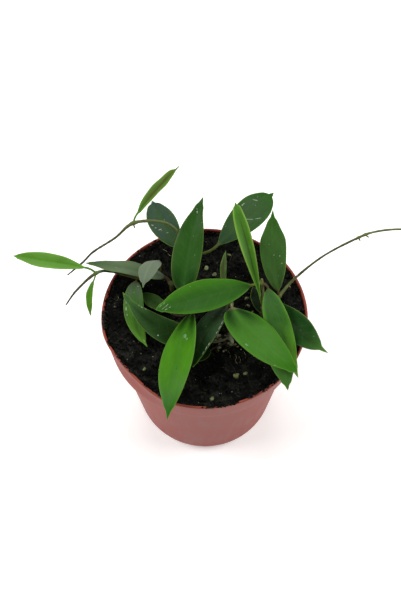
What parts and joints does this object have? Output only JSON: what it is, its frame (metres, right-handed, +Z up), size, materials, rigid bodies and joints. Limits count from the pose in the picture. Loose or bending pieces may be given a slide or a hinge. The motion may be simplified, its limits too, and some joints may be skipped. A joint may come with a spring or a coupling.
{
  "type": "potted vine plant",
  "caption": "Small young wax vine with narrow glossy leaves and bare whip stems in a round tapered plastic nursery pot.",
  "frame": {"origin": "centre of the pot's underside, where its middle pad meets the ground", "axes": "+Z up, -Y towards the viewer of the picture, +X to the right, where the long whip stem leaves the pot"},
  "size_m": [0.2367, 0.1418, 0.1681],
  "materials": {
    "pot_plastic": "thin moulded red-brown nursery pot plastic, satin",
    "soil_peat": "dark peaty potting mix, rough and damp",
    "stem_bark": "thin olive to brown vine stem",
    "leaf_bright": "waxy bright green leaf",
    "leaf_mid": "waxy mid green leaf",
    "leaf_dark": "waxy dark green leaf",
    "leaf_grey": "greyish leaf underside with a dull bloom"
  },
  "bodies": {
    "root": {"pot": "pot_plastic", "soil": "soil_peat", "stem_front": "stem_bark", "stem_centre": "stem_bark", "stem_right": "stem_bark", "stem_left": "stem_bark", "stem_whip_right": "stem_bark", "leaf_low_left": "leaf_dark", "leaf_soil_front": "leaf_dark", "leaf_front_shaded": "leaf_dark", "leaf_right_front": "leaf_bright", "leaf_young_tip": "leaf_grey", "leaf_shaded_right": "leaf_dark", "leaf_folded_upright": "leaf_bright", "leaf_right_under": "leaf_mid", "leaf_centre_level": "leaf_bright", "leaf_right_middle": "leaf_mid", "leaf_soil_left": "leaf_mid", "leaf_tall_centre": "leaf_mid", "leaf_front": "leaf_bright", "leaf_back_left": "leaf_dark", "leaf_back_right": "leaf_dark", "leaf_whip_upper": "leaf_bright", "leaf_left_long": "leaf_grey", "leaf_left_curled": "leaf_grey", "leaf_left_drooping": "leaf_mid", "leaf_far_left": "leaf_bright", "leaf_hanging_small": "leaf_bright", "leaf_right_upright": "leaf_mid", "leaf_right_low": "leaf_dark"}
  },
  "joints": []
}
